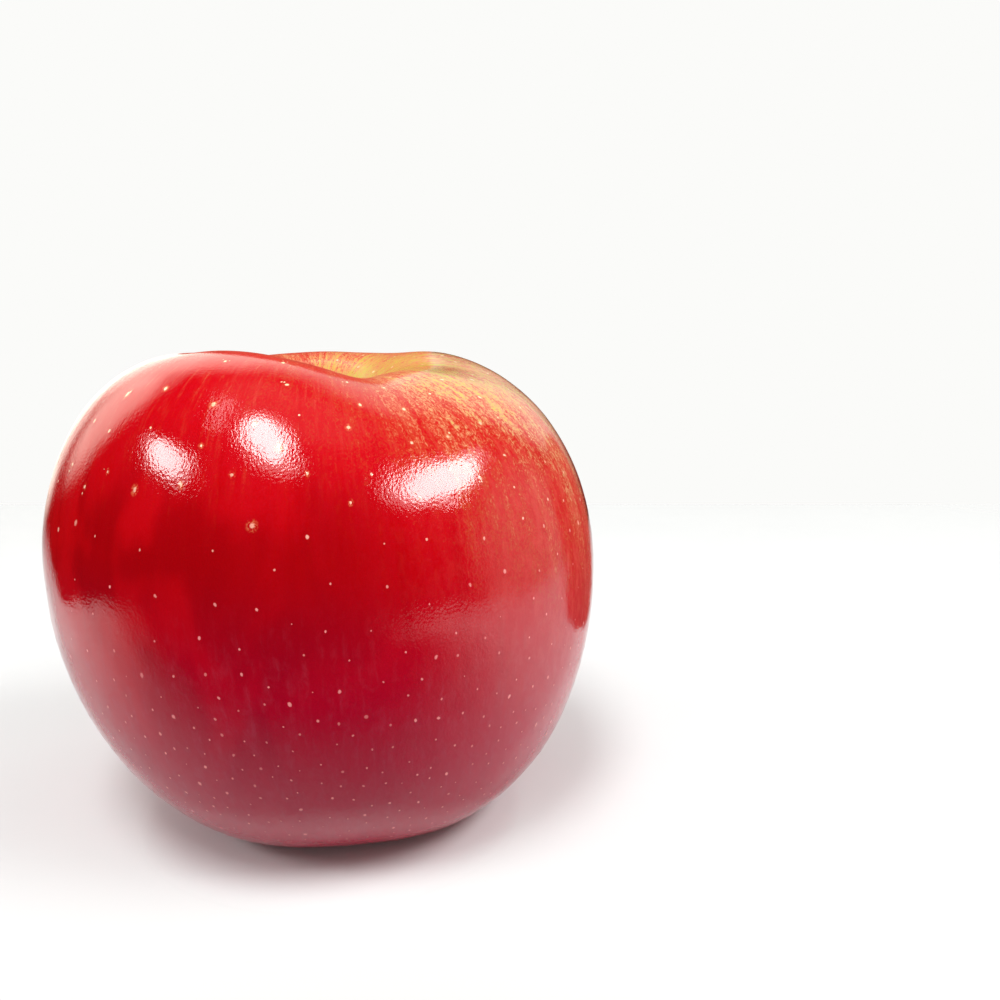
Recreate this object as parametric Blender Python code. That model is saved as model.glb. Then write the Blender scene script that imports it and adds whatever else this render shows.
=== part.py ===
"""A large red eating apple standing on its base.

Three solids: the fruit with its stem cavity and its eye basin, the short woody stem that grows from the
floor of the cavity, and the dried calyx in the basin underneath. Metres, +Z up. The origin is in the middle
of the base, and the five low lobes round the basin are flattened where they meet the surface at z = 0.

The fruit is a star-shaped surface. The polar angle runs from 0 at the stem end to 180 degrees at the eye, and
the bearing runs round the fruit from +X towards +Y.
"""

import math

import bmesh
import bpy
import numpy as np

# Body of the fruit
body_radius = 0.0420
crown_height = 0.0395          # centre to stem end, with the cavity filled
base_depth = 0.0462            # centre to eye end, with the basin filled
centre_height = 0.0394         # centre above the surface that the apple stands on
fullness = 0.18                # how square the shoulders are, beside an ellipse
fullness_taper = -0.075        # fuller below the middle than above it
axis_lean = -0.030             # sideways shift for each metre of height
axis_bow = 0.00108             # sideways shift at bow_height above or below the centre
bow_height = 0.040
stem_end_turn = math.radians(-1.7)

# Stem cavity and the narrow throat at its bottom
cavity_depth = 0.0130
cavity_spread = math.radians(27.5)
throat_depth = 0.0090
throat_spread = math.radians(13.8)

# Eye basin and the pit in the middle of it
basin_depth = 0.0083
basin_spread = math.radians(23.5)
pit_depth = 0.0060
pit_spread = math.radians(12.0)

# Unevenness of the shoulder: waves round the fruit, height of a crest, bearing of a crest
shoulder_angle = math.radians(35.5)
shoulder_waves = (
    (1, 0.00136, math.radians(-177.0)),
    (2, 0.00091, math.radians(44.5)),
    (3, 0.00021, math.radians(16.0)),
    (5, 0.00030, math.radians(18.0)),
)
dip_depth = 0.0020             # dip in the rim of the cavity
dip_bearing = math.radians(-68.3)
dip_spread = math.radians(14.3)

# Five low lobes round the basin
lobe_angle = math.radians(151.4)
lobe_waves = ((5, 0.00035, math.radians(18.0)),)

# Mesh of the fruit
segments = 60
belly_step = 0.0046            # between rings at the belly
end_step = 0.0021              # between rings in the cavity and the basin

# Stem
stem_clearance = 0.0005
stem_length = 0.0092
stem_foot_radius = 0.0005
stem_foot_fade = 0.17          # share of the length over which the foot widens
stem_radius = 0.0012
stem_tip_radius = 0.0017
stem_tip_fade = 0.22
stem_lean = (-0.0022, -0.0012)  # sideways shift of the tip
stem_bend = 1.6                # above 1, the lean is mostly near the tip
stem_sides = 14
stem_rings = 14

# Calyx
calyx_clearance = 0.00045
sepal_count = 5
sepal_thickness = 0.0007
sepal_length = 0.0074          # along the curl, from the middle of the calyx to a tip
sepal_notch = 0.0034           # the same at the notch between two sepals
sepal_columns = 10             # columns of faces across one sepal
sepal_rings = 9
cup_radius = 0.0027            # the sepals turn down from the floor of the basin here
turn_width = 0.0004            # how sharply they turn
cup_slope = math.radians(12.0)
turn_angle = math.radians(66.0)
tip_lift = math.radians(50.0)  # how far the tips curl out again
calyx_twist = math.radians(11.0)


def wave_sum(waves, bearing):
    return sum(height * np.cos(count * (bearing - crest)) for count, height, crest in waves)


def ring_weight(angle_from_pole, ring_angle):
    """1 on a ring round a pole, fading smoothly to 0 at the pole and at the belly."""
    ratio = (angle_from_pole / ring_angle) ** 2
    return ratio * np.exp(1.0 - ratio)


def hollow(depth, spread, angle_from_pole):
    return depth * np.exp(-(angle_from_pole / spread) ** 2)


def fruit_radius(polar, bearing):
    """Distance from the fruit's centre to its skin."""
    sine = np.sin(polar)
    cosine = np.cos(polar)
    from_eye = math.pi - polar
    mean_square = (crown_height ** -2 + base_depth ** -2) / 2.0
    difference = (crown_height ** -2 - base_depth ** -2) / 2.0
    across = sine ** 2 / body_radius ** 2
    along = cosine ** 2 * (mean_square + difference * cosine)
    square = across * cosine ** 2 * (fullness + fullness_taper * cosine)
    radius = (across + along - square) ** -0.5
    radius = radius - hollow(cavity_depth, cavity_spread, polar)
    radius = radius - hollow(throat_depth, throat_spread, polar)
    radius = radius - hollow(basin_depth, basin_spread, from_eye)
    radius = radius - hollow(pit_depth, pit_spread, from_eye)
    dip = dip_depth * np.exp((np.cos(bearing - dip_bearing) - 1.0) / dip_spread ** 2)
    shoulder = wave_sum(shoulder_waves, bearing) - dip
    radius = radius + shoulder * ring_weight(polar, shoulder_angle)
    return radius + wave_sum(lobe_waves, bearing) * ring_weight(from_eye, math.pi - lobe_angle)


def fruit_point(polar, bearing):
    """A point of the skin. Both angles may be arrays."""
    radius = fruit_radius(polar, bearing)
    x = radius * np.sin(polar) * np.cos(bearing)
    y = radius * np.sin(polar) * np.sin(bearing)
    z = radius * np.cos(polar)
    turn = stem_end_turn * np.exp(-polar ** 2)
    x, z = x * np.cos(turn) + z * np.sin(turn), z * np.cos(turn) - x * np.sin(turn)
    x = x + axis_lean * z + axis_bow * (z / bow_height) ** 2
    return x, y, z + centre_height


def ring_angles():
    """Polar angles of the rings, closer together in the cavity and the basin."""
    polar = np.linspace(0.0, math.pi, 2001)
    x, y, z = fruit_point(polar, np.full_like(polar, math.radians(90.0)))
    length = np.sqrt(np.diff(x) ** 2 + np.diff(y) ** 2 + np.diff(z) ** 2)
    middle = (polar[1:] + polar[:-1]) / 2.0
    step = end_step + (belly_step - end_step) * np.sin(middle) ** 2
    count_so_far = np.concatenate(([0.0], np.cumsum(length / step)))
    rings = int(round(count_so_far[-1]))
    wanted = np.linspace(0.0, count_so_far[-1], rings + 1)[1:-1]
    return np.interp(wanted, count_so_far, polar)


def new_object(name, bm, material):
    mesh = bpy.data.meshes.new(name)
    bmesh.ops.recalc_face_normals(bm, faces=bm.faces)
    bm.to_mesh(mesh)
    bm.free()
    mesh.shade_smooth()
    mesh.set_sharp_from_angle(angle=math.radians(50.0))
    mesh.materials.append(material)
    obj = bpy.data.objects.new(name, mesh)
    bpy.context.scene.collection.objects.link(obj)
    return obj


def principled(name, colour, roughness, metallic=0.0):
    material = bpy.data.materials.new(name)
    material.use_nodes = True
    shader = material.node_tree.nodes["Principled BSDF"]
    shader.inputs["Base Color"].default_value = (*colour, 1.0)
    shader.inputs["Roughness"].default_value = roughness
    shader.inputs["Metallic"].default_value = metallic
    return material


def bridge(bm, lower, upper):
    """Faces between two closed rings of equally many vertices."""
    count = len(lower)
    for i in range(count):
        j = (i + 1) % count
        bm.faces.new((lower[i], lower[j], upper[j], upper[i]))


def fan(bm, ring, apex):
    count = len(ring)
    for i in range(count):
        bm.faces.new((ring[i], ring[(i + 1) % count], apex))


def cut_resting_spots(bm):
    """Cut the lobes level with the surface and close each cut with one flat face."""
    geometry = list(bm.verts) + list(bm.edges) + list(bm.faces)
    bmesh.ops.bisect_plane(
        bm, geom=geometry, dist=1e-6, plane_co=(0.0, 0.0, 0.0), plane_no=(0.0, 0.0, -1.0), clear_outer=True)
    open_edges = [edge for edge in bm.edges if edge.is_boundary]
    bmesh.ops.holes_fill(bm, edges=open_edges, sides=0)


def make_fruit():
    bm = bmesh.new()
    bearings = np.linspace(0.0, 2.0 * math.pi, segments, endpoint=False)
    rings = []
    for polar in ring_angles():
        x, y, z = fruit_point(np.full_like(bearings, polar), bearings)
        rings.append([bm.verts.new(point) for point in zip(x, y, z)])
    for upper, lower in zip(rings[:-1], rings[1:]):
        bridge(bm, lower, upper)
    fan(bm, rings[0], bm.verts.new([float(v) for v in fruit_point(0.0, 0.0)]))
    fan(bm, rings[-1], bm.verts.new([float(v) for v in fruit_point(math.pi, 0.0)]))
    cut_resting_spots(bm)
    return new_object("fruit", bm, principled("red skin", (0.50, 0.012, 0.020), 0.22))


def stem_section(along):
    """Radius of the stem: a rounded foot, a slim shank and a swollen tip where it left the tree."""
    foot = 1.0 - (1.0 - stem_foot_radius / stem_radius) * math.exp(-((along / stem_foot_fade) ** 2))
    swell = (stem_tip_radius - stem_radius) * math.exp(-(((1.0 - along) / stem_tip_fade) ** 2))
    return stem_radius * foot + swell


def make_stem():
    bm = bmesh.new()
    x, y, z = (float(v) for v in fruit_point(0.0, 0.0))
    foot = np.array((x, y, z + stem_clearance))
    rings = []
    for i in range(stem_rings + 1):
        along = i / stem_rings
        bend = along ** stem_bend
        centre = foot + np.array((stem_lean[0] * bend, stem_lean[1] * bend, stem_length * along))
        radius = stem_section(along)
        ring = []
        for side in range(stem_sides):
            turn = 2.0 * math.pi * side / stem_sides
            offset = np.array((math.cos(turn) * radius, math.sin(turn) * radius, 0.0))
            offset[2] = -(offset[0] * stem_lean[0] + offset[1] * stem_lean[1]) * along / stem_length
            ring.append(bm.verts.new(centre + offset))
        rings.append(ring)
    for lower, upper in zip(rings[:-1], rings[1:]):
        bridge(bm, lower, upper)
    bm.faces.new(rings[0])
    bm.faces.new(rings[-1])
    return new_object("stem", bm, principled("dry bark", (0.16, 0.085, 0.040), 0.75))


def sepal_slope(along):
    """Downward slope of a sepal's inner face, as an angle, at a length from the middle of the calyx."""
    turned = 1.0 / (1.0 + np.exp(-(along - cup_radius) / turn_width))
    past_cup = np.clip((along - cup_radius) / (sepal_length - cup_radius), 0.0, 1.0)
    return cup_slope + turn_angle * turned - tip_lift * past_cup ** 2


def sepal_curve():
    """Points and directions of the curl, stepped along its length."""
    steps = 400
    along = np.linspace(0.0, sepal_length, steps + 1)
    angle = sepal_slope(along)
    step = sepal_length / steps
    radius = np.concatenate(([0.0], np.cumsum(np.cos(angle[:-1]) * step)))
    depth = np.concatenate(([0.0], np.cumsum(np.sin(angle[:-1]) * step)))
    return along, radius, depth, angle


def make_calyx():
    bm = bmesh.new()
    along, radius, depth, angle = sepal_curve()
    x, y, z = (float(v) for v in fruit_point(math.pi, 0.0))
    top = z - calyx_clearance
    columns = sepal_count * sepal_columns
    sheets = []
    for side in (0.0, 1.0):
        apex = bm.verts.new((x, y, top - sepal_thickness * side))
        rings = []
        for i in range(1, sepal_rings + 1):
            ring = []
            for column in range(columns):
                across = abs((column % sepal_columns) / sepal_columns - 0.5) * 2.0
                reach = sepal_notch + (sepal_length - sepal_notch) * across
                length = reach * i / sepal_rings
                tilt = float(np.interp(length, along, angle))
                out = float(np.interp(length, along, radius)) - sepal_thickness * side * math.sin(tilt)
                down = float(np.interp(length, along, depth)) + sepal_thickness * side * math.cos(tilt)
                bearing = calyx_twist + 2.0 * math.pi * column / columns
                edge_x = x + out * math.cos(bearing)
                edge_y = y + out * math.sin(bearing)
                ring.append(bm.verts.new((edge_x, edge_y, top - down)))
            rings.append(ring)
        fan(bm, rings[0], apex)
        for inner, outer in zip(rings[:-1], rings[1:]):
            bridge(bm, inner, outer)
        sheets.append(rings[-1])
    bridge(bm, sheets[0], sheets[1])
    return new_object("calyx", bm, principled("dried sepals", (0.13, 0.080, 0.045), 0.9))


def main():
    for obj in list(bpy.data.objects):
        bpy.data.objects.remove(obj, do_unlink=True)
    make_fruit()
    make_stem()
    make_calyx()


main()
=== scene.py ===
# A red eating apple on a pale table: the fruit in its waxed skin, the pores of the skin, the stem in its
# cavity and the dried calyx underneath. Metres, +Z up, -Y towards the camera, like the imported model.

import math

import bpy
import numpy as np
from mathutils import Euler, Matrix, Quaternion, Vector


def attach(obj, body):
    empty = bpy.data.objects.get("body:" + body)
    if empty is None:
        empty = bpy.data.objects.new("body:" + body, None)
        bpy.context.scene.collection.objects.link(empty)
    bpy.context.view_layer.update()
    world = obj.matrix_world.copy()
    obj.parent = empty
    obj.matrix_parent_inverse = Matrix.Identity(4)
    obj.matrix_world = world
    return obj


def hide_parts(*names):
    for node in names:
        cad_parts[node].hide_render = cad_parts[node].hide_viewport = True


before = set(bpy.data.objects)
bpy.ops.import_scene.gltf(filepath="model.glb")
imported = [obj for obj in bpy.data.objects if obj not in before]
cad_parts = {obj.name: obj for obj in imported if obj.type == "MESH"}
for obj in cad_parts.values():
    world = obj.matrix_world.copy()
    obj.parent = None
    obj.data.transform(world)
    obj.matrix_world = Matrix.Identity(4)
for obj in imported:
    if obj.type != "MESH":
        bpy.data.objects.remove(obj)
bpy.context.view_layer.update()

mm = 0.001
print("frame loaded:", ", ".join(sorted(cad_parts)))


def linear(hexColour):
    # sRGB hex to the linear colour that the shader works in
    parts = [int(hexColour[i:i + 2], 16) / 255.0 for i in (1, 3, 5)]
    return (*[v / 12.92 if v <= 0.04045 else ((v + 0.055) / 1.055) ** 2.4 for v in parts], 1.0)


def addNode(tree, kind, inputs=None, **settings):
    # an input is given as a value, or as the output that feeds it
    node = tree.nodes.new(kind)
    for name, value in settings.items():
        setattr(node, name, value)
    for name, value in (inputs or {}).items():
        if isinstance(value, bpy.types.NodeSocket):
            tree.links.new(value, node.inputs[name])
        else:
            node.inputs[name].default_value = value
    return node


def fillRamp(ramp, stops):
    elements = ramp.color_ramp.elements
    while len(elements) < len(stops):
        elements.new(0.5)
    for element, (position, colour) in zip(elements, stops):
        element.position = position
        element.color = linear(colour)


def emptyMaterial(name):
    material = bpy.data.materials.new(name)
    material.use_nodes = True
    tree = material.node_tree
    tree.nodes.clear()
    return material, tree


def finishMaterial(tree, shader):
    addNode(tree, "ShaderNodeOutputMaterial", {"Surface": shader.outputs[0]})


def makePiece(name, points, faces, material, nodes=(), attributes=None, body="root"):
    mesh = bpy.data.meshes.new(name)
    mesh.from_pydata(points, [], faces)
    mesh.update()
    mesh.shade_smooth()
    for title, values in (attributes or {}).items():
        values = np.asarray(values, dtype=np.float32)
        kind = "FLOAT" if values.ndim == 1 else "FLOAT_VECTOR"
        layer = mesh.attributes.new(title, kind, "POINT")
        layer.data.foreach_set("value" if values.ndim == 1 else "vector", values.ravel())
    mesh.materials.append(material)
    obj = bpy.data.objects.new(name, mesh)
    bpy.context.scene.collection.objects.link(obj)
    if body is None:
        return obj
    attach(obj, body)
    if nodes:
        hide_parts(*nodes)
    return obj


# Camera: worked out from the photograph's perspective
cameraView = {
    "location": (0.0, -158.4 * mm, 77.5 * mm),
    "turn": math.radians(9.84),      # to the right of the apple
    "tilt": math.radians(10.5),      # downwards
    "lens": 36.0,                    # as wide as the sensor: 1000 pixels of focal length in 1000
    "sensor": 36.0,
    "clip": (0.01, 20.0),
}


def makeCamera():
    c = cameraView
    data = bpy.data.cameras.new("camera")
    data.lens, data.sensor_width = c["lens"], c["sensor"]
    data.clip_start, data.clip_end = c["clip"]
    camera = bpy.data.objects.new("camera", data)
    camera.location = c["location"]
    camera.rotation_euler = (math.pi / 2.0 - c["tilt"], 0.0, -c["turn"])
    bpy.context.scene.collection.objects.link(camera)
    bpy.context.scene.camera = camera


# Fruit: the same surface as the solid model, read far more finely.
# polar runs from 0 at the stem end to pi at the eye, bearing from +X towards +Y.
fruit = {
    "bodyRadius": 42.0 * mm,
    "crownHeight": 39.5 * mm,
    "baseDepth": 46.2 * mm,
    "centreHeight": 39.4 * mm,
    "fullness": 0.18,
    "fullnessTaper": -0.075,
    "axisLean": -0.030,
    "axisBow": 1.08 * mm,
    "bowHeight": 40.0 * mm,
    "stemEndTurn": math.radians(-1.7),
    "cavity": (13.0 * mm, math.radians(27.5)),   # depth and spread
    "throat": (9.0 * mm, math.radians(13.8)),
    "basin": (8.3 * mm, math.radians(23.5)),
    "pit": (6.0 * mm, math.radians(12.0)),
    "shoulderAngle": math.radians(35.5),
    # waves round the shoulder: crests in a turn, height, bearing of one crest in degrees
    "shoulderWaves": (
        (1, 1.36 * mm, -177.0),
        (2, 0.91 * mm, 44.5),
        (3, 0.21 * mm, 16.0),
        (5, 0.30 * mm, 18.0),
    ),
    "dip": (2.0 * mm, math.radians(-68.3), math.radians(14.3)),   # depth, bearing and spread
    "lobeAngle": math.radians(151.4),
    "lobeWaves": ((5, 0.35 * mm, 18.0),),
    "restHeight": 0.02 * mm,  # the lowest that the skin reaches
    "meridianSamples": 3001,
    "segments": 320,
    "rings": 278,
    "endStep": 0.45,          # ring spacing at the ends, as a share of that at the belly
    "undulation": 0.035 * mm,  # slow unevenness that bends the reflections
    "undulationInset": 2.7,    # how many times its height it lies inward
    "undulationCount": 70,
    "undulationLength": (5.0 * mm, 22.0 * mm),
    "seed": 11,
}


def waveSum(waves, bearing):
    return sum(height * np.cos(count * (bearing - math.radians(crest))) for count, height, crest in waves)


def ringWeight(angle, ringAngle):
    ratio = (angle / ringAngle) ** 2
    return ratio * np.exp(1.0 - ratio)


def hollow(size, angle):
    return size[0] * np.exp(-(angle / size[1]) ** 2)


def unevenness(points):
    # a sum of plane waves of random direction, lying inward so that the skin stays inside the solid
    rng = np.random.default_rng(fruit["seed"])
    shortest, longest = fruit["undulationLength"]
    total = np.zeros(points.shape[:-1])
    weight = 0.0
    for _ in range(fruit["undulationCount"]):
        direction = rng.normal(size=3)
        direction /= np.linalg.norm(direction)
        length = shortest * (longest / shortest) ** rng.random()
        height = length / longest
        phase = rng.uniform(0.0, 2.0 * math.pi)
        total += height * np.cos(points @ direction * (2.0 * math.pi / length) + phase)
        weight += height * height / 2.0
    return fruit["undulation"] * (total / math.sqrt(weight) - fruit["undulationInset"])


def fruitPoint(polar, bearing, raised=0.0):
    f = fruit
    polar, bearing = np.broadcast_arrays(np.asarray(polar, float), np.asarray(bearing, float))
    sine, cosine = np.sin(polar), np.cos(polar)
    fromEye = math.pi - polar
    meanSquare = (f["crownHeight"] ** -2 + f["baseDepth"] ** -2) / 2.0
    difference = (f["crownHeight"] ** -2 - f["baseDepth"] ** -2) / 2.0
    across = sine ** 2 / f["bodyRadius"] ** 2
    radius = (across + cosine ** 2 * (meanSquare + difference * cosine)
              - across * cosine ** 2 * (f["fullness"] + f["fullnessTaper"] * cosine)) ** -0.5
    radius = radius - hollow(f["cavity"], polar) - hollow(f["throat"], polar)
    radius = radius - hollow(f["basin"], fromEye) - hollow(f["pit"], fromEye)
    dipDepth, dipBearing, dipSpread = f["dip"]
    dip = dipDepth * np.exp((np.cos(bearing - dipBearing) - 1.0) / dipSpread ** 2)
    radius = radius + (waveSum(f["shoulderWaves"], bearing) - dip) * ringWeight(polar, f["shoulderAngle"])
    radius = radius + waveSum(f["lobeWaves"], bearing) * ringWeight(fromEye, math.pi - f["lobeAngle"])
    outward = np.stack([sine * np.cos(bearing), sine * np.sin(bearing), cosine], -1)
    radius = radius + unevenness(outward * radius[..., None]) + raised
    x, y, z = np.moveaxis(outward * radius[..., None], -1, 0)
    turn = f["stemEndTurn"] * np.exp(-polar ** 2)
    x, z = x * np.cos(turn) + z * np.sin(turn), z * np.cos(turn) - x * np.sin(turn)
    x = x + f["axisLean"] * z + f["axisBow"] * (z / f["bowHeight"]) ** 2
    z = z + f["centreHeight"]
    return np.stack([x, y, np.maximum(z, f["restHeight"])], -1)   # pressed flat where it stands


def arcLengths():
    # length along a meridian from the stem end, in metres, for a fine row of polar angles
    polar = np.linspace(0.0, math.pi, fruit["meridianSamples"])
    row = fruitPoint(polar, math.radians(90.0))
    length = np.concatenate(([0.0], np.cumsum(np.linalg.norm(np.diff(row, axis=0), axis=1))))
    return polar, length


meridianPolar, meridianLength = arcLengths()


def ringAngles():
    middle = (meridianPolar[1:] + meridianPolar[:-1]) / 2.0
    step = fruit["endStep"] + (1.0 - fruit["endStep"]) * np.sin(middle) ** 2
    soFar = np.concatenate(([0.0], np.cumsum(np.diff(meridianLength) / step)))
    wanted = np.linspace(0.0, soFar[-1], fruit["rings"] + 2)[1:-1]
    return np.interp(wanted, soFar, meridianPolar)


# Where the red colour covers the skin: thinnest in the stem cavity, on the side that grew in the shade and
# round the eye, fullest on the sunny left and all over the belly
blush = {
    "shoulderReach": 1.15,        # radians from the stem end over which the red thins out
    "sunnyThinning": 0.20,
    "shadeThinning": 0.42,        # what the shaded side adds
    "cavityReach": 0.50,          # radians over which it thins out further on the shaded side
    "cavityThinning": 0.45,
    "shadeBearing": math.radians(22.0),
    "flankThinning": 0.30,        # down the shaded flank
    "flankPolar": 1.35,
    "flankReach": 0.75,
    # a paler cheek: polar in radians, bearing in degrees, its reach in each, thinning
    "cheek": (0.80, -38.0, 0.32, 30.0, 0.26),
    "eyeReach": 0.42,
    "eyeThinning": (0.25, 0.50),  # on the sunny side, and what the shaded side adds
    "streakReach": 1.05,          # radians from the stem end over which pale streaks show
    "sunnyStreaks": 0.65,         # how much of them is left on the sunny side
    "flankStreaks": 0.55,         # how much they show down the shaded flank
}


def skinFields(polar, bearing):
    # what the skin's material reads at each point: its place in mm with no seam, the share of red, how much
    # the pale streaks show, the shaded side, and the distance from the stem end
    b = blush
    shade = 0.5 + 0.5 * np.cos(bearing - b["shadeBearing"])
    thin = np.exp(-(polar / b["shoulderReach"]) ** 2) * (b["sunnyThinning"] + b["shadeThinning"] * shade)
    thin = thin + np.exp(-(polar / b["cavityReach"]) ** 2) * b["cavityThinning"] * shade
    flank = np.exp(-((polar - b["flankPolar"]) / b["flankReach"]) ** 2)
    thin = thin + b["flankThinning"] * flank * shade ** 2
    cheekPolar, cheekBearing, polarReach, bearingReach, cheekThinning = b["cheek"]
    aside = np.degrees(np.angle(np.exp(1j * (bearing - math.radians(cheekBearing)))))
    cheek = np.exp(-((polar - cheekPolar) / polarReach) ** 2 - (aside / bearingReach) ** 2)
    thin = thin + cheekThinning * cheek
    eyeSide = np.exp(-((math.pi - polar) / b["eyeReach"]) ** 2)
    thin = thin + eyeSide * (b["eyeThinning"][0] + b["eyeThinning"][1] * shade)
    pale = np.exp(-(polar / b["streakReach"]) ** 4)
    pale = pale * (b["sunnyStreaks"] + (1.0 - b["sunnyStreaks"]) * shade)
    pale = pale + b["flankStreaks"] * flank * shade ** 3
    along = np.interp(polar, meridianPolar, meridianLength) / mm
    girth = fruit["bodyRadius"] / mm
    place = np.stack([girth * np.cos(bearing), girth * np.sin(bearing), along], -1)
    return {
        "skinPlace": place,
        "red": np.clip(1.0 - thin, 0.0, 1.0),
        "palePart": np.clip(pale, 0.0, 1.0),
        "shadedPart": shade,
        "polarShare": polar / math.pi,
    }


# Skin: cutin and polished wax over pigmented cells. The wax gives small bright highlights, the cells under it
# break their edges into a fine grain, and the pigment lies in clouds, lengthwise streaks and short flecks.
# Some tints low down and on the shaded flank are painted shade and painted reflections, not pigment.
waxedSkin = {
    "coverage": (                 # from the ground colour to full red
        (0.00, "#C2BA4A"),
        (0.16, "#CCB04C"),
        (0.32, "#D49E6E"),
        (0.48, "#CE6A4A"),
        (0.62, "#C03420"),
        (0.78, "#C20A18"),
        (1.00, "#C00006"),
    ),
    # width in mm, how many times longer along the streaks, detail, roughness, distortion, share in breaking
    # up the red
    "patterns": {
        "cloud": (11.0, 1.7, 2.0, 0.50, 0.4, 1.0),
        "streak": (2.2, 16.0, 3.0, 0.60, 0.0, 1.5),
        "fineStreak": (0.8, 11.0, 3.0, 0.55, 0.0, 0.8),
        "fleck": (0.60, 1.3, 2.0, 0.60, 1.5, 2.4),
        "mottle": (1.5, 2.0, 5.0, 0.72, 0.4, 0.7),
        "grain": (0.36, 1.1, 1.5, 0.50, 0.0, 0.0),   # cells of about 0.05 mm, drawn coarse enough to show
        "peel": (2.4, 1.3, 1.0, 0.50, 0.0, 0.0),
    },
    "leastBreakup": 0.02,         # how much they break up full red
    # tints laid over each other: a colour, then steps whose product is its share. A step is what is read,
    # where it starts and ends, and how high it is
    "tints": (
        # clouds on the sunny side, and streaks, where the pigment is thickest
        ("#940008",
         ("cloud", 0.40, 0.64, 0.70), ("polarShare", 0.28, 0.42, 1.0), ("shadedPart", 0.50, 0.26, 1.0)),
        ("#940008",
         ("streak", 0.54, 0.74, 0.22), ("red", 0.55, 1.0, 1.0)),
        # duller and bluer towards the eye: painted shade of the underside, and a painted bluish reflection of
        # the table
        ("#B00A3A",
         ("polarShare", 0.42, 0.70, 0.85), ("red", 0.2, 1.0, 1.0)),
        # pink mottle on the shaded flank: paler cells under the skin, and a painted reflection of the pale
        # side wall broken up by the wax
        ("#DE5248",
         ("mottle", 0.42, 0.66, 0.42), ("shadedPart", 0.30, 0.95, 1.0), ("polarShare", 0.66, 0.50, 1.0)),
        # a painted pinkish reflection of the pale table, mottled, low down
        ("#B84A62",
         ("mottle", 0.40, 0.72, 0.30), ("fineStreak", 0.30, 0.70, 1.0), ("polarShare", 0.44, 0.60, 1.0)),
        # pale streaks on the shoulder
        ("#E08A64",
         ("fineStreak", 0.46, 0.78, 0.55), ("palePart", 0.0, 1.0, 1.0), ("mottle", 0.38, 0.62, 1.0),
         ("fleck", 0.34, 0.56, 1.0)),
        # halos round the shoulder's pores
        ("#EE9A66",
         ("pore", 0.02, 0.60, 1.0), ("halo", 0.0, 1.0, 1.0), ("fleck", 0.42, 0.62, 0.5)),
        # russet round the stem
        ("#7A6238",
         ("polarShare", 0.10, 0.03, 0.85), ("fineStreak", 0.30, 0.50, 1.0)),
    ),
    "poreCream": "#FFEBBE",
    "porePink": "#FF9A9A",
    "creamToPink": (0.28, 0.48),  # where, as shares of the way to the eye, the one turns into the other
    "poreEdge": (0.76, 0.98),     # where a dot starts and is full, 1 being its middle
    "poreRaggedness": 0.35,
    "roughness": 0.065,
    "ior": 1.5,
    "gloss": 0.7,                 # a little above plain cutin's, for the wax
    "grainHeight": 0.025 * mm,
    "peelHeight": 0.030 * mm,
    "subsurface": 0.08,
    "subsurfaceRadius": (1.0, 0.22, 0.10),
    "subsurfaceScale": 1.0 * mm,
}


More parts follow.
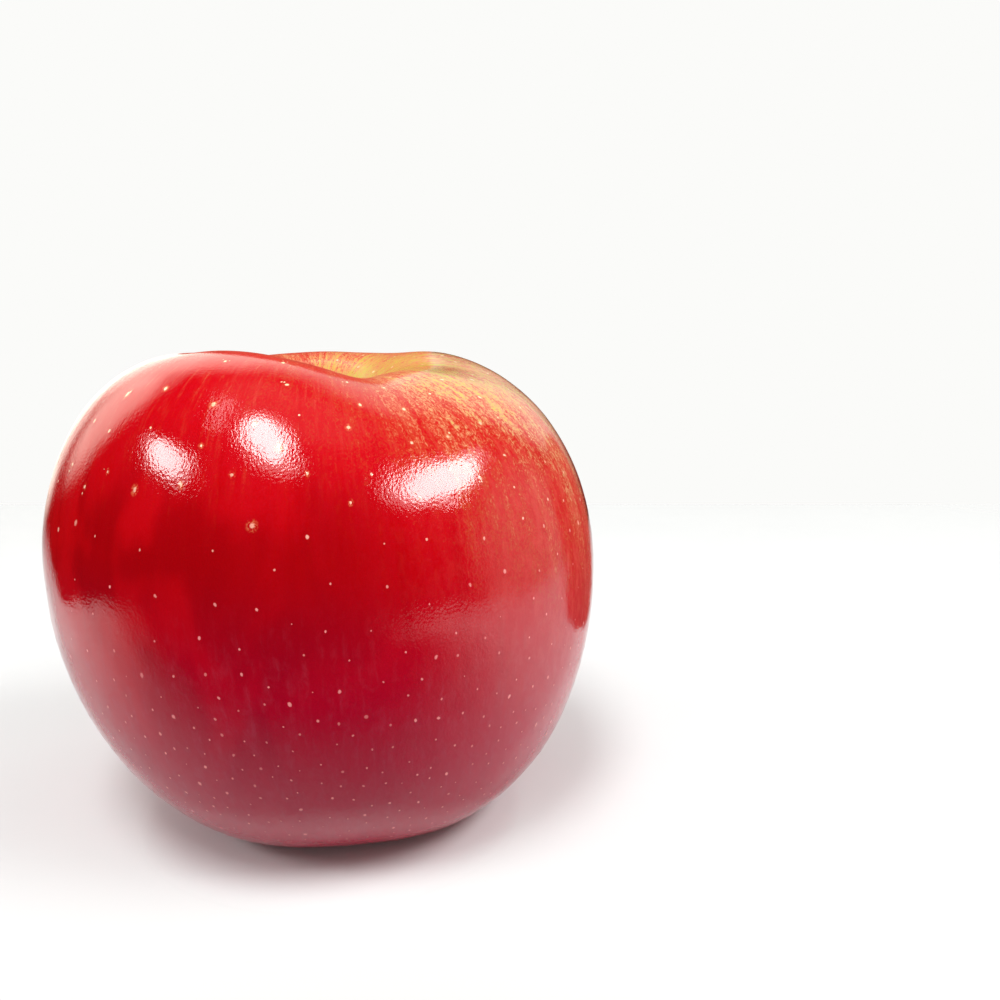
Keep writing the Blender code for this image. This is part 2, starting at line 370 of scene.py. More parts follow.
def makeSkinMaterial():
    s = waxedSkin
    material, tree = emptyMaterial("waxedAppleSkin")
    place = addNode(tree, "ShaderNodeAttribute", attribute_name="skinPlace").outputs["Vector"]
    at = {}
    for name in ("red", "palePart", "shadedPart", "polarShare", "pore", "halo", "poreStrength"):
        at[name] = addNode(tree, "ShaderNodeAttribute", attribute_name=name).outputs["Fac"]

    # the patterns, and the red as they break it up, most where it is thin
    broken = 0.0
    for name, (width, length, detail, roughness, distortion, share) in s["patterns"].items():
        stretched = addNode(tree, "ShaderNodeVectorMath", {
            0: place, 1: (1.0, 1.0, 1.0 / length)}, operation="MULTIPLY").outputs[0]
        noise = addNode(tree, "ShaderNodeTexNoise", {
            "Vector": stretched, "Scale": 1.0 / width, "Detail": detail, "Roughness": roughness,
            "Distortion": distortion}).outputs["Fac"]
        at[name] = noise
        if share:
            centred = addNode(tree, "ShaderNodeMath", {0: noise, 1: 0.5}, operation="SUBTRACT").outputs[0]
            broken = addNode(tree, "ShaderNodeMath", {
                0: centred, 1: share, 2: broken}, operation="MULTIPLY_ADD").outputs[0]
    thin = addNode(tree, "ShaderNodeMath", {
        0: 1.0 + s["leastBreakup"], 1: at["red"]}, operation="SUBTRACT").outputs[0]
    covered = addNode(tree, "ShaderNodeMath", {
        0: broken, 1: thin, 2: at["red"]}, operation="MULTIPLY_ADD").outputs[0]
    ramp = addNode(tree, "ShaderNodeValToRGB", {"Fac": covered})
    fillRamp(ramp, s["coverage"])

    colour = ramp.outputs["Color"]
    for tint, *steps in s["tints"]:
        total = None
        for name, start, end, height in steps:
            step = addNode(tree, "ShaderNodeMapRange", {
                "Value": at[name], "From Min": start, "From Max": end, "To Max": height,
            }, interpolation_type="SMOOTHSTEP").outputs["Result"]
            if total is not None:
                step = addNode(tree, "ShaderNodeMath", {0: total, 1: step}, operation="MULTIPLY").outputs[0]
            total = step
        colour = addNode(tree, "ShaderNodeMix", {
            0: total, 6: colour, 7: linear(tint)}, data_type="RGBA").outputs[2]

    # pores: a pale dot with a ragged edge, cream on the shoulder and pink below
    edge = addNode(tree, "ShaderNodeMath", {
        0: at["fleck"], 1: s["poreRaggedness"], 2: at["pore"]}, operation="MULTIPLY_ADD").outputs[0]
    dot = addNode(tree, "ShaderNodeMapRange", {
        "Value": edge, "From Min": s["poreEdge"][0], "From Max": s["poreEdge"][1],
    }, interpolation_type="SMOOTHSTEP").outputs["Result"]
    dot = addNode(tree, "ShaderNodeMath", {0: dot, 1: at["poreStrength"]}, operation="MULTIPLY").outputs[0]
    low = addNode(tree, "ShaderNodeMapRange", {
        "Value": at["polarShare"], "From Min": s["creamToPink"][0], "From Max": s["creamToPink"][1],
    }).outputs["Result"]
    poreColour = addNode(tree, "ShaderNodeMix", {
        0: low, 6: linear(s["poreCream"]), 7: linear(s["porePink"])}, data_type="RGBA").outputs[2]
    colour = addNode(tree, "ShaderNodeMix", {0: dot, 6: colour, 7: poreColour}, data_type="RGBA").outputs[2]

    # shallow peel and fine grain, which bend and break up the reflections
    peel = addNode(tree, "ShaderNodeBump", {
        "Strength": 1.0, "Distance": s["peelHeight"], "Height": at["peel"]}).outputs["Normal"]
    grain = addNode(tree, "ShaderNodeBump", {
        "Strength": 1.0, "Distance": s["grainHeight"], "Height": at["grain"], "Normal": peel,
    }).outputs["Normal"]
    shader = addNode(tree, "ShaderNodeBsdfPrincipled", {
        "Base Color": colour,
        "Normal": grain,
        "Roughness": s["roughness"],
        "IOR": s["ior"],
        "Specular IOR Level": s["gloss"],
        "Subsurface Weight": s["subsurface"],
        "Subsurface Radius": s["subsurfaceRadius"],
        "Subsurface Scale": s["subsurfaceScale"],
    })
    finishMaterial(tree, shader)
    return material


def gridFaces(ringCount, sides, start=0, closed=True):
    faces = []
    for i in range(ringCount - 1):
        for j in range(sides if closed else sides - 1):
            a, b = start + i * sides + j, start + i * sides + (j + 1) % sides
            faces.append((a, a + sides, b + sides, b))
    return faces


def makeFruit(material):
    polar = ringAngles()
    bearing = np.linspace(0.0, 2.0 * math.pi, fruit["segments"], endpoint=False)
    polarGrid, bearingGrid = np.meshgrid(polar, bearing, indexing="ij")
    polarAll = np.concatenate(([0.0], polarGrid.ravel(), [math.pi]))
    bearingAll = np.concatenate(([0.0], bearingGrid.ravel(), [0.0]))
    points = fruitPoint(polarAll, bearingAll)
    sides = fruit["segments"]
    faces = gridFaces(len(polar), sides, 1)
    last = len(points) - 1
    for j in range(sides):
        k = (j + 1) % sides
        faces.append((0, 1 + j, 1 + k))
        faces.append((last, last - sides + k, last - sides + j))
    fields = skinFields(polarAll, bearingAll)
    makePiece("fruitSkin", points.tolist(), faces, material, ("fruit",), fields)
    print("fruit skin:", len(faces), "faces")


# Pores of the skin: pale, slightly domed discs, sparse on the shoulder and dense round the eye
pores = {
    "seed": 5,
    "tries": 26000,
    "nearest": 0.2,          # radians from the stem end
    "clearOfTable": 0.2 * mm,
    "spacing": (             # polar angle in radians, mm
        (0.0, 4.0), (0.6, 4.6), (1.5, 4.3), (1.75, 3.0), (2.0, 2.2), (2.4, 1.9), (2.8, 1.7), (3.14, 1.8)),
    "spacingSpread": (0.8, 1.5),
    "sunnySpacing": 1.35,    # on the sunny side of the shoulder they are this much further apart,
    "sunnyReach": 1.7,       # as far as this from the stem end
    "sunnyFade": 0.5,
    "radius": (              # polar angle in radians, mm
        (0.0, 0.16), (0.6, 0.22), (1.2, 0.19), (1.5, 0.15), (1.9, 0.14), (2.4, 0.13), (3.14, 0.12)),
    "radiusSpread": 0.30,
    "radiusLimits": (0.08, 0.34),   # mm
    "discRatio": 3.0,        # the disc carries the halo too, so it is this many dot radii
    "dome": 0.012 * mm,
    "lift": 0.006 * mm,
    "sides": 12,
    "rings": (0.16, 0.26, 0.36, 0.60, 1.0),
    "stretch": (1.0, 1.5),   # along the streaks
    "lean": 0.3,             # radians off them, either way
    "strength": (0.50, 1.0),
    "haloLimit": 1.25,       # radians from the stem end, past which there are no halos
    "nestShare": 0.30,       # share of the shoulder's pores that have smaller ones beside them
    "nestCount": (1, 3),
    "nestReach": (0.45, 1.1),   # mm
    "nestSize": (0.35, 0.6),    # share of the first one's radius
}


def placePores(rng):
    # polar, bearing, metres for a radian along and around, radius of the dot, halo and strength of each pore
    p = pores
    spacingAt, spacingOf = zip(*p["spacing"])
    radiusAt, radiusOf = zip(*p["radius"])
    polarTries = np.arccos(rng.uniform(-1.0, math.cos(p["nearest"]), p["tries"]))
    bearingTries = rng.uniform(0.0, 2.0 * math.pi, p["tries"])
    centres = fruitPoint(polarTries, bearingTries)
    gaps = np.interp(polarTries, spacingAt, spacingOf) * mm * rng.uniform(*p["spacingSpread"], p["tries"])
    sunny = 0.5 - 0.5 * np.cos(bearingTries - blush["shadeBearing"])
    sunny = sunny * np.clip((p["sunnyReach"] - polarTries) / p["sunnyFade"], 0.0, 1.0)
    gaps *= 1.0 + (p["sunnySpacing"] - 1.0) * sunny
    step = 0.001   # radians
    alongSteps = np.linalg.norm(fruitPoint(polarTries + step, bearingTries) - centres, axis=1) / step
    aroundSteps = np.linalg.norm(fruitPoint(polarTries, bearingTries + step) - centres, axis=1) / step
    placed = np.empty((p["tries"], 3))
    count = 0
    spots = []
    for i in range(p["tries"]):
        if centres[i][2] < p["clearOfTable"]:
            continue
        if count and np.min(np.sum((placed[:count] - centres[i]) ** 2, axis=1)) < gaps[i] ** 2:
            continue
        placed[count] = centres[i]
        count += 1
        polar, bearing = polarTries[i], bearingTries[i]
        dot = np.interp(polar, radiusAt, radiusOf) * math.exp(p["radiusSpread"] * rng.normal())
        dot = np.clip(dot, *p["radiusLimits"]) * mm
        onShoulder = polar < p["haloLimit"]
        halo = rng.uniform(0.0, 1.0) if onShoulder else 0.0
        alongStep, aroundStep = alongSteps[i], aroundSteps[i]
        spots.append((polar, bearing, alongStep, aroundStep, dot, halo, rng.uniform(*p["strength"])))
        if onShoulder and rng.random() < p["nestShare"]:
            for _ in range(rng.integers(*p["nestCount"])):
                turn, reach = rng.uniform(0.0, 2.0 * math.pi), rng.uniform(*p["nestReach"]) * mm
                nearPolar = polar + reach * math.cos(turn) / alongStep
                nearBearing = bearing + reach * math.sin(turn) / aroundStep
                small = dot * rng.uniform(*p["nestSize"])
                spots.append((nearPolar, nearBearing, alongStep, aroundStep,
                              small, halo, rng.uniform(*p["strength"])))
    return spots


def makePores(material):
    p = pores
    rng = np.random.default_rng(p["seed"])
    spots = placePores(rng)
    sides = p["sides"]
    shares = np.repeat(p["rings"], sides)
    turns = np.tile(np.arange(sides) * 2.0 * math.pi / sides, len(p["rings"]))
    discSize = len(shares) + 1
    polarList, bearingList, faces = [], [], []
    for number, (polar, bearing, alongStep, aroundStep, dot, _, _) in enumerate(spots):
        stretch = rng.uniform(*p["stretch"])
        lean = rng.normal(0.0, p["lean"])
        reach = shares * dot * p["discRatio"]
        long, wide = np.cos(turns) * reach * stretch, np.sin(turns) * reach
        along = (long * math.cos(lean) - wide * math.sin(lean)) / alongStep
        around = (long * math.sin(lean) + wide * math.cos(lean)) / aroundStep
        polarList.append(np.append(polar, polar + along))
        bearingList.append(np.append(bearing, bearing + around))
        start = number * discSize
        faces += [(start, start + 1 + k, start + 1 + (k + 1) % sides) for k in range(sides)]
        faces += gridFaces(len(p["rings"]), sides, start + 1)
    polarAll, bearingAll = np.concatenate(polarList), np.concatenate(bearingList)
    toMiddle = np.tile(np.append(1.0, 1.0 - shares), len(spots))   # 1 in the middle of a disc, 0 at its edge
    dome = np.clip(1.0 - ((1.0 - toMiddle) * p["discRatio"]) ** 2, 0.0, 1.0)
    points = fruitPoint(polarAll, bearingAll, p["lift"] + p["dome"] * dome)
    fields = skinFields(polarAll, bearingAll)
    fields["pore"] = toMiddle
    fields["halo"] = np.repeat([spot[5] for spot in spots], discSize)
    fields["poreStrength"] = np.repeat([spot[6] for spot in spots], discSize)
    makePiece("skinPores", points.tolist(), faces, material, (), fields)
    print("pores:", len(spots), "of", len(faces), "faces")


# Stem: a dry woody stalk with lengthwise ridges, swollen where it left the tree
stem = {
    "clearance": 0.5 * mm,      # from the skin up to the foot of the solid model's stem
    "sink": 0.6 * mm,           # and from there down to this one's foot, which goes into the skin
    "length": 9.2 * mm,
    "footRadius": 0.5 * mm,
    "footFade": 0.17,           # share of the length over which it widens above the foot
    "radius": 1.2 * mm,
    "tipRadius": 1.7 * mm,
    "tipFade": 0.22,            # and over which it swells towards the tip
    "inset": 0.1 * mm,          # keeps the ridges inside the solid
    "lean": (-2.2 * mm, -1.2 * mm),
    "bend": 1.6,                # 1 leans straight, and more leans late
    "sides": 64,
    "rings": 90,
    "ridges": 7,
    "ridgeHeight": 0.055 * mm,
    "ridgeTwist": 1.2,          # radians from foot to tip
    # the roughness is the mean of some waves: their number, crests in a turn, radians from foot to tip, phase
    "roughHeight": 0.10 * mm,
    "roughWaves": 10,
    "roughAround": (2, 9),
    "roughAlong": (12.56, 56.52),
    "roughPhase": (0.0, 6.28),
    # rings of the broken end: share of the rim's size, and depth in mm
    "brokenEnd": ((0.86, 0.02), (0.66, 0.16), (0.35, 0.24)),
    "brokenRough": (-0.03, 0.05),   # mm
    "brokenDepth": 0.26 * mm,
    "seed": 3,
}

stemBark = {   # dried bark: rough and matt, brown with greyer fibres along it
    "colours": ((0.30, "#4C2F1A"), (0.52, "#6A5630"), (0.70, "#8B7150")),   # brown, olive and grey
    "roughness": 0.78,
    "ior": 1.5,
    "fibreWidth": 0.25,         # mm
    "fibreSqueeze": 0.18,       # the pattern's scale along the stalk, as a share of that across it
    "fibreDetail": 4.0,
    "fibreHeight": 0.06 * mm,
    "fibreStrength": 0.8,
}


def makeStemMaterial():
    s = stemBark
    material, tree = emptyMaterial("driedStemBark")
    place = addNode(tree, "ShaderNodeTexCoord").outputs["Object"]
    fibres = addNode(tree, "ShaderNodeVectorMath", {
        0: place, 1: (1.0, 1.0, s["fibreSqueeze"])}, operation="MULTIPLY").outputs[0]
    fibre = addNode(tree, "ShaderNodeTexNoise", {
        "Vector": fibres, "Scale": 1.0 / (s["fibreWidth"] * mm), "Detail": s["fibreDetail"]}).outputs["Fac"]
    ramp = addNode(tree, "ShaderNodeValToRGB", {"Fac": fibre})
    fillRamp(ramp, s["colours"])
    bump = addNode(tree, "ShaderNodeBump", {
        "Strength": s["fibreStrength"], "Distance": s["fibreHeight"], "Height": fibre})
    shader = addNode(tree, "ShaderNodeBsdfPrincipled", {
        "Base Color": ramp.outputs["Color"],
        "Normal": bump.outputs["Normal"],
        "Roughness": s["roughness"],
        "IOR": s["ior"],
    })
    finishMaterial(tree, shader)
    return material


def makeStem(material):
    s = stem
    rng = np.random.default_rng(s["seed"])
    foot = fruitPoint(0.0, 0.0) + np.array((0.0, 0.0, s["clearance"] - s["sink"]))
    sides = s["sides"]
    points = []
    ridgeTurn = rng.uniform(0.0, 2.0 * math.pi)
    waves = [(rng.integers(*s["roughAround"]), rng.uniform(*s["roughAlong"]), rng.uniform(*s["roughPhase"]))
             for _ in range(s["roughWaves"])]
    for i in range(s["rings"] + 1):
        along = i / s["rings"]
        bend = along ** s["bend"]
        centre = foot + np.array((s["lean"][0] * bend, s["lean"][1] * bend, s["length"] * along))
        footPart = 1.0 - (1.0 - s["footRadius"] / s["radius"]) * math.exp(-((along / s["footFade"]) ** 2))
        swell = (s["tipRadius"] - s["radius"]) * math.exp(-(((1.0 - along) / s["tipFade"]) ** 2))
        radius = s["radius"] * footPart + swell - s["inset"]
        for k in range(sides):
            turn = 2.0 * math.pi * k / sides
            ridge = math.cos(s["ridges"] * turn + ridgeTurn + s["ridgeTwist"] * along)
            rough = sum(math.cos(count * turn + rate * along + phase) for count, rate, phase in waves)
            reach = radius + s["ridgeHeight"] * ridge + s["roughHeight"] * rough / len(waves)
            offset = np.array((math.cos(turn) * reach, math.sin(turn) * reach, 0.0))
            offset[2] = -(offset[0] * s["lean"][0] + offset[1] * s["lean"][1]) * along / s["length"]
            points.append(centre + offset)
    # the broken end: rings drawn in to a rough hollow, and a point in the middle
    rim = np.array(points[-sides:])
    middle = rim.mean(axis=0)
    for share, depth in s["brokenEnd"]:
        for corner in rim:
            drop = (depth + rng.uniform(*s["brokenRough"])) * mm
            points.append(middle + (corner - middle) * share - np.array((0.0, 0.0, drop)))
    lastRing = len(points) - sides
    points.append(middle - np.array((0.0, 0.0, s["brokenDepth"])))
    ringCount = s["rings"] + 1 + len(s["brokenEnd"])
    faces = [face[::-1] for face in gridFaces(ringCount, sides)]
    faces += [(lastRing + k, lastRing + (k + 1) % sides, len(points) - 1) for k in range(sides)]
    faces.append(tuple(range(sides))[::-1])
    makePiece("woodyStem", [tuple(p) for p in points], faces, material, ("stem",))
    print("stem:", len(faces), "faces")


# Calyx: five dried sepals curled back from a small cup, with the withered stamens inside it
calyx = {
    "clearance": 0.45 * mm,
    "sepals": 5,
    "thickness": 0.7 * mm,      # the solid model's
    "thin": 0.35,               # thickness here, as a share of that
    "length": 7.4 * mm,         # from the middle to the tips,
    "notch": 3.4 * mm,          # and to the notches between the sepals
    "tipPower": 1.15,           # 1 makes straight edges, and more makes narrower tips
    "cupRadius": 2.7 * mm,      # where they turn down
    "turnWidth": 0.4 * mm,
    "cupSlope": math.radians(12.0),
    "turnDown": math.radians(66.0),
    "turnBack": math.radians(50.0),   # what the tips lose of it again
    "curveSamples": 601,
    "twist": math.radians(11.0),
    "columns": 40,              # for each sepal
    "rings": 44,
    "reachSpread": (0.86, 1.0),     # length from sepal to sepal
    "curlSpread": (-0.25, 0.1),     # radians that a tip curls more or less
    "curlWidening": 0.3,
    "wrinkle": 0.10 * mm,
    "wrinkleTurns": (0.9, 1.7, 2.3),    # radians for each column, sepal and mm of length
    "seed": 9,
}

driedSepal = {   # withered leaf tissue: quite matt, dark brown with paler veins
    "colours": ((0.30, "#40291A"), (0.52, "#784C2C"), (0.74, "#A58660")),   # dark, brown and pale
    "roughness": 0.92,
    "ior": 1.45,
    "veinWidth": 0.4,           # mm
    "veinDetail": 5.0,
    "veinRoughness": 0.6,
    "veinHeight": 0.08 * mm,
    "veinStrength": 0.7,
}


def makeSepalMaterial():
    s = driedSepal
    material, tree = emptyMaterial("driedSepalTissue")
    place = addNode(tree, "ShaderNodeTexCoord").outputs["Object"]
    vein = addNode(tree, "ShaderNodeTexNoise", {
        "Vector": place, "Scale": 1.0 / (s["veinWidth"] * mm), "Detail": s["veinDetail"],
        "Roughness": s["veinRoughness"]}).outputs["Fac"]
    ramp = addNode(tree, "ShaderNodeValToRGB", {"Fac": vein})
    fillRamp(ramp, s["colours"])
    bump = addNode(tree, "ShaderNodeBump", {
        "Strength": s["veinStrength"], "Distance": s["veinHeight"], "Height": vein})
    shader = addNode(tree, "ShaderNodeBsdfPrincipled", {
        "Base Color": ramp.outputs["Color"],
        "Normal": bump.outputs["Normal"],
        "Roughness": s["roughness"],
        "IOR": s["ior"],
    })
    finishMaterial(tree, shader)
    return material


def sepalCurve():
    # length along a sepal, and the radius, depth and slope there
    c = calyx
    along = np.linspace(0.0, c["length"], c["curveSamples"])
    turned = 1.0 / (1.0 + np.exp(-(along - c["cupRadius"]) / c["turnWidth"]))
    share = np.clip((along - c["cupRadius"]) / (c["length"] - c["cupRadius"]), 0.0, 1.0)
    angle = c["cupSlope"] + c["turnDown"] * turned - c["turnBack"] * share ** 2
    step = along[1]
    radius = np.concatenate(([0.0], np.cumsum(np.cos(angle[:-1]) * step)))
    depth = np.concatenate(([0.0], np.cumsum(np.sin(angle[:-1]) * step)))
    return along, radius, depth, angle


# the withered stamens that makeCalyx puts in its cup
stamens = {
    "count": 16,
    "sides": 8,
    "rings": 9,
    "headRings": 2,             # the last ones, thicker than the thread
    "headSize": 1.9,
    "radius": 0.11 * mm,
    "taper": 0.45,
    "length": (2.2 * mm, 3.6 * mm),
    "footReach": (0.5, 1.5),    # mm from the middle
    "footTurn": 0.2,            # radians, either way
    "footDepth": 0.5 * mm,
    "lean": 0.3,
    "curl": 0.5 * mm,
}


def addStamens(points, faces, eye, top, rng):
    # withered threads in a ring inside the cup, each with a thicker head
    s = stamens
    sides, rings = s["sides"], s["rings"]
    for number in range(s["count"]):
        bearing = 2.0 * math.pi * number / s["count"] + rng.uniform(-s["footTurn"], s["footTurn"])
        reach = rng.uniform(*s["footReach"]) * mm
        length = rng.uniform(*s["length"])
        x, y = eye[0] + reach * math.cos(bearing), eye[1] + reach * math.sin(bearing)
        foot = Vector((x, y, top - s["footDepth"]))
        lean = Vector((*rng.uniform(-s["lean"], s["lean"], 2), -1.0)).normalized()
        curl = Vector((*rng.uniform(-1.0, 1.0, 2), 0.0)) * s["curl"]
        start = len(points)
        for i in range(rings):
            share = i / (rings - 1)
            centre = foot + lean * length * share + curl * share ** 2
            thick = s["radius"] * (1.0 - s["taper"] * share)
            if i >= rings - s["headRings"]:
                thick *= s["headSize"]
            for k in range(sides):
                turn = 2.0 * math.pi * k / sides
                points.append(tuple(centre + Vector((math.cos(turn), math.sin(turn), 0.0)) * thick))
        faces += gridFaces(rings, sides, start)
        faces.append(tuple(range(start, start + sides)))
        faces.append(tuple(range(len(points) - sides, len(points)))[::-1])


def makeCalyx(material):
    c = calyx
    rng = np.random.default_rng(c["seed"])
    along, radius, depth, angle = sepalCurve()
    eye = fruitPoint(math.pi, 0.0)
    top = eye[2] - c["clearance"]
    columns = c["sepals"] * c["columns"]
    perColumn, perSepal, perLength = c["wrinkleTurns"]
    reachOf = rng.uniform(*c["reachSpread"], c["sepals"])
    curlOf = rng.uniform(*c["curlSpread"], c["sepals"])
    points, faces = [], []
    for side in (0.0, 1.0):     # the outer sheet, and the inner one
        start = len(points)
        level = (0.5 - c["thin"] / 2.0 + c["thin"] * side) * c["thickness"]
        points.append((eye[0], eye[1], top - level))
        for i in range(1, c["rings"] + 1):
            for k in range(columns):
                sepal = int((k + c["columns"] / 2) // c["columns"]) % c["sepals"]
                toTip = abs((k % c["columns"]) / c["columns"] - 0.5) * 2.0   # 0 in a notch, 1 at a tip
                reach = c["notch"] + (c["length"] * reachOf[sepal] - c["notch"]) * toTip ** c["tipPower"]
                length = reach * i / c["rings"]
                share = max(0.0, (length - c["cupRadius"]) / (c["length"] - c["cupRadius"]))
                tilt = float(np.interp(length, along, angle)) + curlOf[sepal] * share
                wave = math.sin(k * perColumn + sepal * perSepal + length / mm * perLength)
                lift = level + c["wrinkle"] * share * wave
                out = float(np.interp(length, along, radius)) - lift * math.sin(tilt)
                down = float(np.interp(length, along, depth)) + lift * math.cos(tilt)
                out = out * (1.0 + curlOf[sepal] * share * c["curlWidening"])
                bearing = c["twist"] + 2.0 * math.pi * k / columns
                x, y = eye[0] + out * math.cos(bearing), eye[1] + out * math.sin(bearing)
                points.append((x, y, top - down))
        firstRing = start + 1
        sheet = [(start, firstRing + (k + 1) % columns, firstRing + k) for k in range(columns)]
        sheet += [face[::-1] for face in gridFaces(c["rings"], columns, firstRing)]
        if side == 0.0:
            sheet = [face[::-1] for face in sheet]
        faces += sheet
    # the edge that joins the sheets
    sheetSize = 1 + c["rings"] * columns
    edge = sheetSize - columns
    for k in range(columns):
        a, b = edge + k, edge + (k + 1) % columns
        faces.append((a, a + sheetSize, b + sheetSize, b))
    addStamens(points, faces, eye, top, rng)
    makePiece("driedCalyx", points, faces, material, ("calyx",))
    print("calyx:", len(faces), "faces")


# Stage: a pale table top, soft lamps and a room that is pale behind the apple and dark behind the camera
stage = {
    "tableColour": "#E8EAEA",
    "tableRoughness": 0.6,
    "tableGloss": 0.25,
    "cloudWidth": 71.43,               # mm
    "cloudDetail": 4.0,
    "cloudRange": (0.3, 0.7),
    "cloudShade": 0.96,                # its darkest, as a share of the colour
    # corners of the table top, in metres
    "tableCorners": (
        (-0.205, -0.170), (0.562, -0.269), (0.634, 0.146),
        (-0.265, 0.302), (-0.146, 0.068), (-0.192, -0.007),
    ),
    # it fades into the backdrop. Each pair is the distance in metres where it is gone, and where it is whole
    "farReach": (0.450, 0.100),        # from the apple
    "shadedPlace": (-0.005, -0.145),   # in front and to the left of here, the camera keeps the light off it
    "shadedReach": (0.068, 0.158),     # from that place
    "footReach": (0.044, 0.028),       # from the apple, where it stays in spite of that
    "backdrop": "#FBFBF9",
    "glossTint": "#FFF2E2",            # the room is a little warmer where the apple mirrors it
    "darkRoom": 0.010,
    # direction to the right of the line of sight, height, half width and half height (degrees), radiance
    "palePatches": (
        (-46.0, 24.0, 14.0, 20.0, 2.0),    # window light on the wall behind, to the left
        (30.0, 29.0, 20.0, 29.0, 1.0),     # and to the right
        (-13.0, 24.0, 19.0, 33.0, 1.75),   # the wall between them
        (-22.0, 0.0, 13.0, 9.0, 1.1),      # and low down on the left
        (90.0, 0.0, 30.0, 34.0, 0.7),      # side wall
        (0.0, 90.0, 24.0, 24.0, 0.3),      # ceiling
    ),
    "patchEdge": (0.62, 1.25),         # a patch fades between these shares of its size
    "fill": 0.44,                      # light from all around, which the gloss doesn't show
    "lampTarget": (0.0, 0.0, 0.055),
    "lampDistance": 0.9,
    # direction to the right of the line of sight, height (degrees), width, depth (metres), roll, radiance
    "lamps": (
        (-106.5, 32.0, 0.365, 0.165, 0.0, 12.5),
        (-157.3, 61.9, 0.250, 0.440, 13.0, 15.0),
        (117.0, 43.4, 0.540, 0.230, 10.3, 13.5),
        (-104.0, 65.0, 0.420, 0.055, -45.0, 3.5),
        (122.0, 31.0, 0.07, 0.08, 0.0, 7.0),
    ),
    "edgedLamps": 3,                   # the first ones have a dimmer rim round them:
    "lampEdge": (1.4, 2.2),            # its size as a share of the lamp's, and its radiance
    # rounded cards that only the gloss sees. They warm the right side and the far wall of the stem cavity
    "cards": {
        "warmCard": {"middle": (0.129, 0.060), "radius": 0.042, "height": 0.078, "colour": "#B4604C"},
        "darkCard": {"middle": (-0.004, 0.086), "radius": 0.030, "height": 0.116, "colour": "#C85C40"},
    },
    "cardColumns": 24,
    "cardRounding": 3,                 # higher makes the top flatter and its corners tighter
    "cardRoughness": 0.7,
    "cardFoot": 0.001,                 # they start just above the table,
    "cardLeast": 0.002,                # and reach at least up to here
}


def makeTable():
    s = stage
    material, tree = emptyMaterial("paleTableTop")
    place = addNode(tree, "ShaderNodeTexCoord").outputs["Object"]
    cloud = addNode(tree, "ShaderNodeTexNoise", {
        "Vector": place, "Scale": 1.0 / (s["cloudWidth"] * mm), "Detail": s["cloudDetail"]}).outputs["Fac"]
    thinnest, densest = s["cloudRange"]
    tint = addNode(tree, "ShaderNodeMapRange", {
        "Value": cloud, "From Min": thinnest, "From Max": densest, "To Min": s["cloudShade"],
    }).outputs["Result"]
    colour = addNode(tree, "ShaderNodeVectorMath", {
        0: linear(s["tableColour"])[:3], "Scale": tint}, operation="SCALE").outputs[0]
    # how far each point is from the apple, and from the place in front that the camera shades
    away = addNode(tree, "ShaderNodeVectorMath", {0: place}, operation="LENGTH").outputs["Value"]
    aside = addNode(tree, "ShaderNodeVectorMath", {
        0: place, 1: (*s["shadedPlace"], 0.0)}, operation="SUBTRACT").outputs[0]
    aside = addNode(tree, "ShaderNodeVectorMath", {
        0: aside, 1: (0.0, -1.0, 0.0)}, operation="MAXIMUM").outputs[0]   # across, only its right side counts
    aside = addNode(tree, "ShaderNodeVectorMath", {0: aside}, operation="LENGTH").outputs["Value"]
    shares = []
    for distance, (gone, whole) in ((away, s["farReach"]), (aside, s["shadedReach"]), (away, s["footReach"])):
        shares.append(addNode(tree, "ShaderNodeMapRange", {
            "Value": distance, "From Min": gone, "From Max": whole,
        }, interpolation_type="SMOOTHSTEP").outputs["Result"])
    far, shaded, foot = shares
    solid = addNode(tree, "ShaderNodeMath", {0: shaded, 1: foot}, operation="MAXIMUM").outputs[0]
    solid = addNode(tree, "ShaderNodeMath", {0: solid, 1: far}, operation="MULTIPLY").outputs[0]
    shader = addNode(tree, "ShaderNodeBsdfPrincipled", {
        "Base Color": colour,
        "Alpha": solid,
        "Roughness": s["tableRoughness"],
        "Specular IOR Level": s["tableGloss"],
    })
    finishMaterial(tree, shader)
    corners = [(x, y, 0.0) for x, y in s["tableCorners"]]
    makePiece("tableTop", corners, [tuple(range(len(corners)))], material, body=None)


def makeCards():
    s = stage
    columns = s["cardColumns"]
    for name, c in s["cards"].items():
        material, tree = emptyMaterial(name)
        shader = addNode(tree, "ShaderNodeBsdfPrincipled", {
            "Base Color": linear(c["colour"]), "Roughness": s["cardRoughness"]})
        finishMaterial(tree, shader)
        x, y = c["middle"]
        toApple = math.atan2(-y, -x)
        points = []
        for part in np.linspace(-1.0, 1.0, columns + 1):   # the half of a drum that faces the apple
            turn = toApple + part * math.pi / 2.0
            top = c["height"] * math.sqrt(1.0 - abs(part) ** s["cardRounding"])
            for height in (s["cardFoot"], max(top, s["cardLeast"])):
                points.append((x + c["radius"] * math.cos(turn), y + c["radius"] * math.sin(turn), height))
        faces = [(2 * i, 2 * i + 2, 2 * i + 3, 2 * i + 1) for i in range(columns)]
        card = makePiece(name, points, faces, material, body=None)
        card.visible_camera = card.visible_diffuse = card.visible_shadow = card.visible_transmission = False


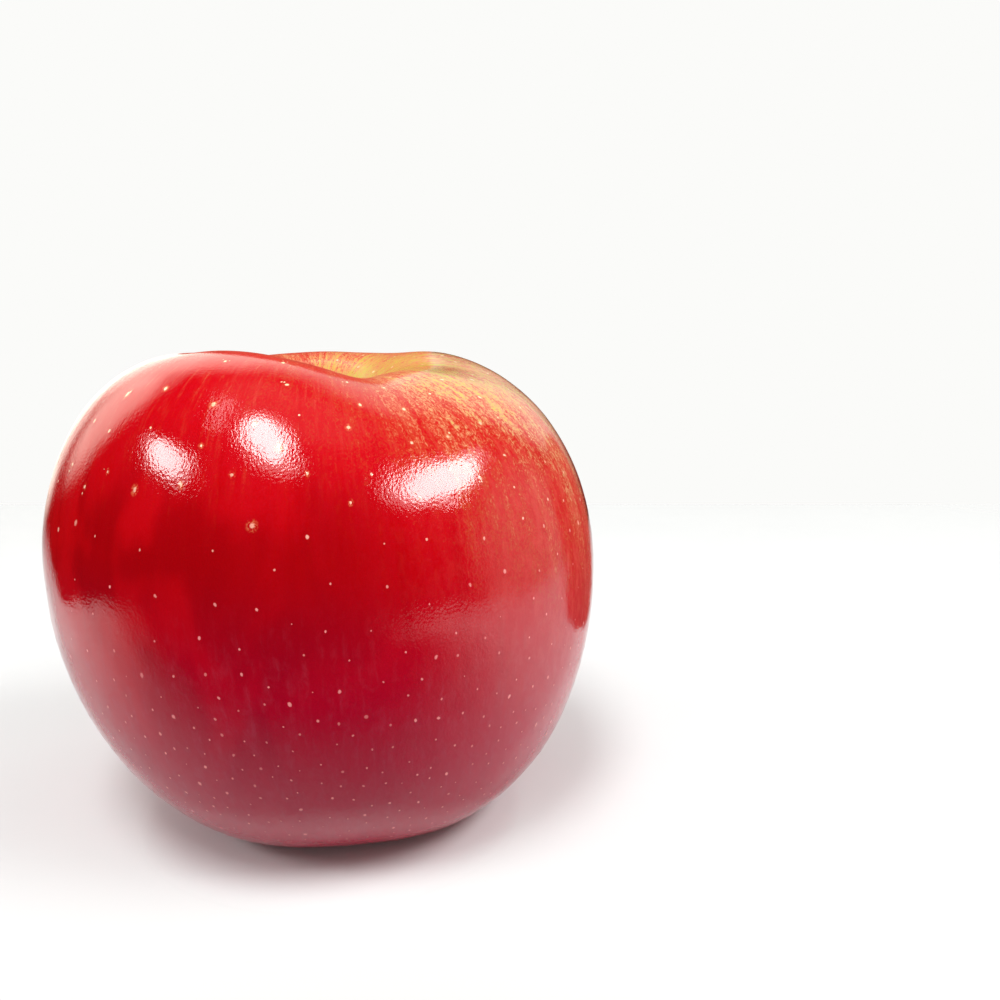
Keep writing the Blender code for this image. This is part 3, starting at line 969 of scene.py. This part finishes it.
def makeRoom():
    s = stage
    world = bpy.data.worlds.new("paleRoom")
    bpy.context.scene.world = world
    world.use_nodes = True
    tree = world.node_tree
    tree.nodes.clear()
    direction = addNode(tree, "ShaderNodeTexCoord").outputs["Generated"]
    full, gone = s["patchEdge"]
    level = s["darkRoom"]
    for azimuth, elevation, halfWidth, halfHeight, radiance in s["palePatches"]:
        # a soft oval patch of light in one direction
        toward = Euler((math.radians(elevation), 0.0, -math.radians(azimuth)))
        local = addNode(tree, "ShaderNodeVectorRotate", {
            "Vector": direction, "Rotation": toward}, rotation_type="EULER_XYZ", invert=True).outputs[0]
        size = (1.0 / math.sin(math.radians(halfWidth)), 0.0, 1.0 / math.sin(math.radians(halfHeight)))
        flat = addNode(tree, "ShaderNodeVectorMath", {0: local, 1: size}, operation="MULTIPLY").outputs[0]
        reach = addNode(tree, "ShaderNodeVectorMath", {0: flat}, operation="LENGTH").outputs["Value"]
        inside = addNode(tree, "ShaderNodeMapRange", {
            "Value": reach, "From Min": gone, "From Max": full, "To Max": radiance,
        }, interpolation_type="SMOOTHSTEP").outputs["Result"]
        ahead = addNode(tree, "ShaderNodeSeparateXYZ", {0: local}).outputs["Y"]
        ahead = addNode(tree, "ShaderNodeMath", {0: ahead, 1: 0.0}, operation="GREATER_THAN").outputs[0]
        level = addNode(tree, "ShaderNodeMath", {
            0: inside, 1: ahead, 2: level}, operation="MULTIPLY_ADD").outputs[0]
    # only the gloss shows the patches. The camera sees the backdrop, and the rest gets the even fill
    rays = addNode(tree, "ShaderNodeLightPath").outputs
    light = addNode(tree, "ShaderNodeMix", {
        "Factor": rays["Is Glossy Ray"], "A": s["fill"], "B": level}).outputs["Result"]
    strength = addNode(tree, "ShaderNodeMix", {
        "Factor": rays["Is Camera Ray"], "A": light, "B": 1.0}).outputs["Result"]
    colour = addNode(tree, "ShaderNodeMix", {
        0: rays["Is Glossy Ray"], 6: linear(s["backdrop"]), 7: linear(s["glossTint"]),
    }, data_type="RGBA").outputs[2]
    background = addNode(tree, "ShaderNodeBackground", {"Color": colour, "Strength": strength})
    addNode(tree, "ShaderNodeOutputWorld", {"Surface": background.outputs[0]})


def makeLamps():
    s = stage
    target = Vector(s["lampTarget"])
    rimSize, rimRadiance = s["lampEdge"]
    lamps = list(s["lamps"])
    for azimuth, elevation, width, depth, roll, _ in s["lamps"][:s["edgedLamps"]]:
        lamps.append((azimuth, elevation, width * rimSize, depth * rimSize, roll, rimRadiance))
    for i, (azimuth, elevation, width, depth, roll, radiance) in enumerate(lamps):
        a, e = math.radians(azimuth), math.radians(elevation)
        direction = Vector((math.sin(a) * math.cos(e), math.cos(a) * math.cos(e), math.sin(e)))
        light = bpy.data.lights.new("softLamp%d" % (i + 1), "AREA")
        light.shape = "ELLIPSE"
        light.size, light.size_y = width, depth
        light.energy = radiance * math.pi * (math.pi / 4.0) * width * depth   # watts off that ellipse
        lamp = bpy.data.objects.new(light.name, light)
        lamp.location = target + direction * s["lampDistance"]
        lamp.rotation_mode = "QUATERNION"
        facing = direction.to_track_quat("Z", "Y")
        lamp.rotation_quaternion = facing @ Quaternion((0, 0, 1), math.radians(roll))
        bpy.context.scene.collection.objects.link(lamp)


makeCamera()
skinMaterial = makeSkinMaterial()
makeFruit(skinMaterial)
makePores(skinMaterial)
makeStem(makeStemMaterial())
makeCalyx(makeSepalMaterial())
makeTable()
makeCards()
makeRoom()
makeLamps()
bpy.context.scene.view_settings.view_transform = "Standard"

print("camera, table and lamps done")
